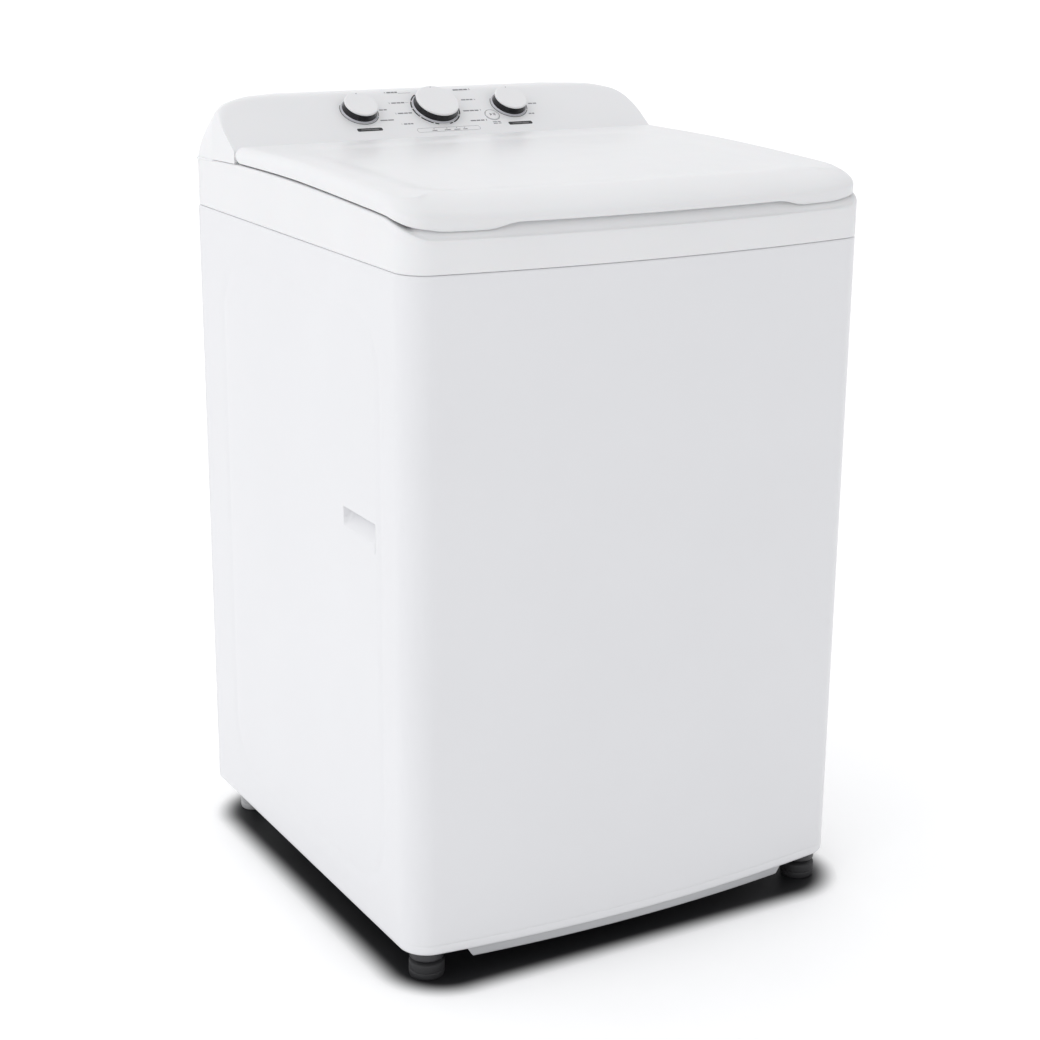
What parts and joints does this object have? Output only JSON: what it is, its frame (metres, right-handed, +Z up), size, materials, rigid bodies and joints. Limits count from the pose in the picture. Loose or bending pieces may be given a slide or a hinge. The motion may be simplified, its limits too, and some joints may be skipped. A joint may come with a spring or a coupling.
{
  "type": "top load washing machine",
  "caption": "Upright top load washing machine with a bowed white cabinet, a full-width lid, a sloped control console, a central agitator and levelling feet.",
  "frame": {"origin": "on the floor under the middle of the whole machine", "axes": "+Z up, -Y towards the bowed front, +X to the right of a person who faces the front"},
  "size_m": [0.686, 0.694, 1.1024],
  "materials": {
    "cabinet_paint": "gloss white powder coat",
    "cover_plastic": "fine moulded white",
    "inner_plastic": "satin white polypropylene",
    "grey_plastic": "satin grey",
    "dark_plastic": "satin black",
    "board_green": "circuit board",
    "rubber_black": "matt",
    "rubber_grey": "matt",
    "zinc_steel": "zinc plated",
    "stainless": "brushed",
    "cast_aluminium": "as cast"
  },
  "bodies": {
    "cabinet": {"base_frame": "zinc_steel", "cabinet_wrap": "cabinet_paint", "rear_panel": "zinc_steel", "front_base_rail": "cover_plastic", "top_cover": "cover_plastic", "mouth_ring": "cover_plastic", "console_housing": "cover_plastic", "console_rear_cover": "zinc_steel", "inlet_valve": "inner_plastic", "water_spout": "inner_plastic", "pressure_sensor": "dark_plastic", "control_board": "board_green", "lid_lock": "dark_plastic", "lid_hinge_pin_left": "zinc_steel", "lid_hinge_pin_right": "zinc_steel", "drain_port": "dark_plastic", "cord_gland": "dark_plastic", "corner_bracket_front_left": "zinc_steel", "corner_bracket_front_right": "zinc_steel", "corner_bracket_rear_left": "zinc_steel", "corner_bracket_rear_right": "zinc_steel", "suspension_rod_front_left": "zinc_steel", "suspension_rod_front_right": "zinc_steel", "suspension_rod_rear_left": "zinc_steel", "suspension_rod_rear_right": "zinc_steel", "suspension_spring_front_left": "zinc_steel", "suspension_spring_front_right": "zinc_steel", "suspension_spring_rear_left": "zinc_steel", "suspension_spring_rear_right": "zinc_steel"},
    "tub": {"outer_tub": "inner_plastic", "tub_cover": "inner_plastic", "drive_plate": "zinc_steel", "gearcase": "cast_aluminium", "main_bearing": "zinc_steel", "motor": "dark_plastic", "drive_belt": "rubber_black", "drain_pump": "inner_plastic", "drain_hose": "rubber_grey"},
    "basket": {"basket_shell": "stainless", "balance_ring": "inner_plastic", "basket_hub": "cast_aluminium", "spin_tube": "stainless"},
    "agitator": {"agitator_base": "inner_plastic", "agitator_auger": "inner_plastic", "agitator_shaft": "stainless", "drive_pulley": "cast_aluminium"},
    "softener_cup": {"softener_cup": "inner_plastic"},
    "motor_rotor": {"motor_pulley": "cast_aluminium"},
    "lid": {"lid_outer": "cover_plastic", "lid_inner": "cover_plastic", "lid_strike": "zinc_steel"},
    "water_level_knob": {"water_level_knob": "cover_plastic"},
    "cycle_knob": {"cycle_knob": "cover_plastic"},
    "temperature_knob": {"temperature_knob": "cover_plastic"},
    "start_button": {"start_button": "cover_plastic"},
    "lid_lock_bolt": {"lid_lock_bolt": "zinc_steel"},
    "foot_front_left": {"foot_front_left": "rubber_black"},
    "foot_front_right": {"foot_front_right": "rubber_black"},
    "foot_rear_left": {"foot_rear_left": "grey_plastic"},
    "foot_rear_right": {"foot_rear_right": "grey_plastic"}
  },
  "joints": [
    {"name": "lid_hinge", "type": "hinge", "parent": "cabinet", "child": "lid", "pos_m": [0, 0.192, 1.029], "axis": [-1, 0, 0], "range_deg": [0, 100]},
    {"name": "tub_sink", "type": "slide", "parent": "cabinet", "child": "tub", "axis": [0, 0, 1], "range_m": [-0.03, 0], "stiffness_N_per_m": 16000, "springref_m": 0.04, "deforming": ["suspension_spring_front_left", "suspension_spring_front_right", "suspension_spring_rear_left", "suspension_spring_rear_right"]},
    {"name": "basket_spin", "type": "hinge", "parent": "tub", "child": "basket", "pos_m": [0, 0, 0.268], "axis": [0, 0, 1], "continuous": true},
    {"name": "agitator_turn", "type": "hinge", "parent": "tub", "child": "agitator", "pos_m": [0, 0, 0.3], "axis": [0, 0, 1], "continuous": true},
    {"name": "motor_spin", "type": "hinge", "parent": "tub", "child": "motor_rotor", "pos_m": [0, 0.168, 0.107], "axis": [0, 0, 1], "continuous": true},
    {"name": "softener_lift", "type": "slide", "parent": "agitator", "child": "softener_cup", "axis": [0, 0, 1], "range_m": [0, 0.12]},
    {"name": "water_level_turn", "type": "hinge", "parent": "cabinet", "child": "water_level_knob", "pos_m": [-0.124, 0.2632, 1.07258], "axis": [0, -0.5592, 0.829], "range_deg": [-135, 135]},
    {"name": "cycle_turn", "type": "hinge", "parent": "cabinet", "child": "cycle_knob", "pos_m": [0, 0.2632, 1.07258], "axis": [0, -0.5592, 0.829], "continuous": true},
    {"name": "temperature_turn", "type": "hinge", "parent": "cabinet", "child": "temperature_knob", "pos_m": [0.124, 0.2632, 1.07258], "axis": [0, -0.5592, 0.829], "range_deg": [-135, 135]},
    {"name": "start_press", "type": "slide", "parent": "cabinet", "child": "start_button", "axis": [0, 0.5592, -0.829], "range_m": [0, 0.0015], "stiffness_N_per_m": 400, "springref_m": -0.002},
    {"name": "lid_lock_slide", "type": "slide", "parent": "cabinet", "child": "lid_lock_bolt", "axis": [1, 0, 0], "range_m": [0, 0.008]},
    {"name": "foot_level_front_left", "type": "slide", "parent": "cabinet", "child": "foot_front_left", "axis": [0, 0, 1], "range_m": [-0.012, 0]},
    {"name": "foot_level_front_right", "type": "slide", "parent": "cabinet", "child": "foot_front_right", "axis": [0, 0, 1], "range_m": [-0.012, 0]},
    {"name": "foot_level_rear_left", "type": "slide", "parent": "cabinet", "child": "foot_rear_left", "axis": [0, 0, 1], "range_m": [-0.012, 0]},
    {"name": "foot_level_rear_right", "type": "slide", "parent": "cabinet", "child": "foot_rear_right", "axis": [0, 0, 1], "range_m": [-0.012, 0]}
  ],
  "couplings": [
    {"joint": "motor_spin", "follows": "agitator_turn", "ratio": 3.7895}
  ]
}
